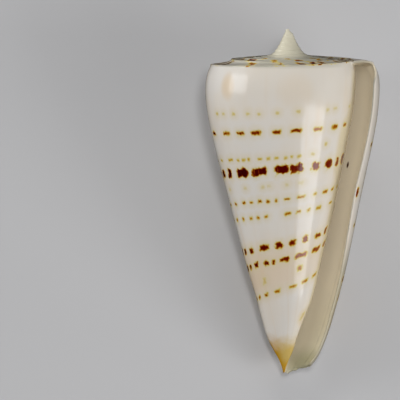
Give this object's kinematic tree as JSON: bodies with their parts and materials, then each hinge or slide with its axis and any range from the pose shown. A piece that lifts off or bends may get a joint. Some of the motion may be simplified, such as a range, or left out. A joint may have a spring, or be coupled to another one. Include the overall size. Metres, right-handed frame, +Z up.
{
  "type": "necklace cone shell",
  "caption": "Empty cone-shaped sea shell with a low stepped spire, a long slit aperture and rows of brown dashes, lying on its back.",
  "frame": {"origin": "Middle of the bounding box's underside, on the surface that the shell lies on.", "axes": "+Z up, with the aperture facing up. +Y towards the spire, along the shell's length; the shell's own axis rises 12.5 degrees towards the spire. +X towards the outer lip."},
  "size_m": [0.0328, 0.0638, 0.0309],
  "materials": {
    "shell": "glossy porcelain white with rows of orange-brown dashes"
  },
  "bodies": {
    "root": {"shell": "shell"}
  },
  "joints": []
}
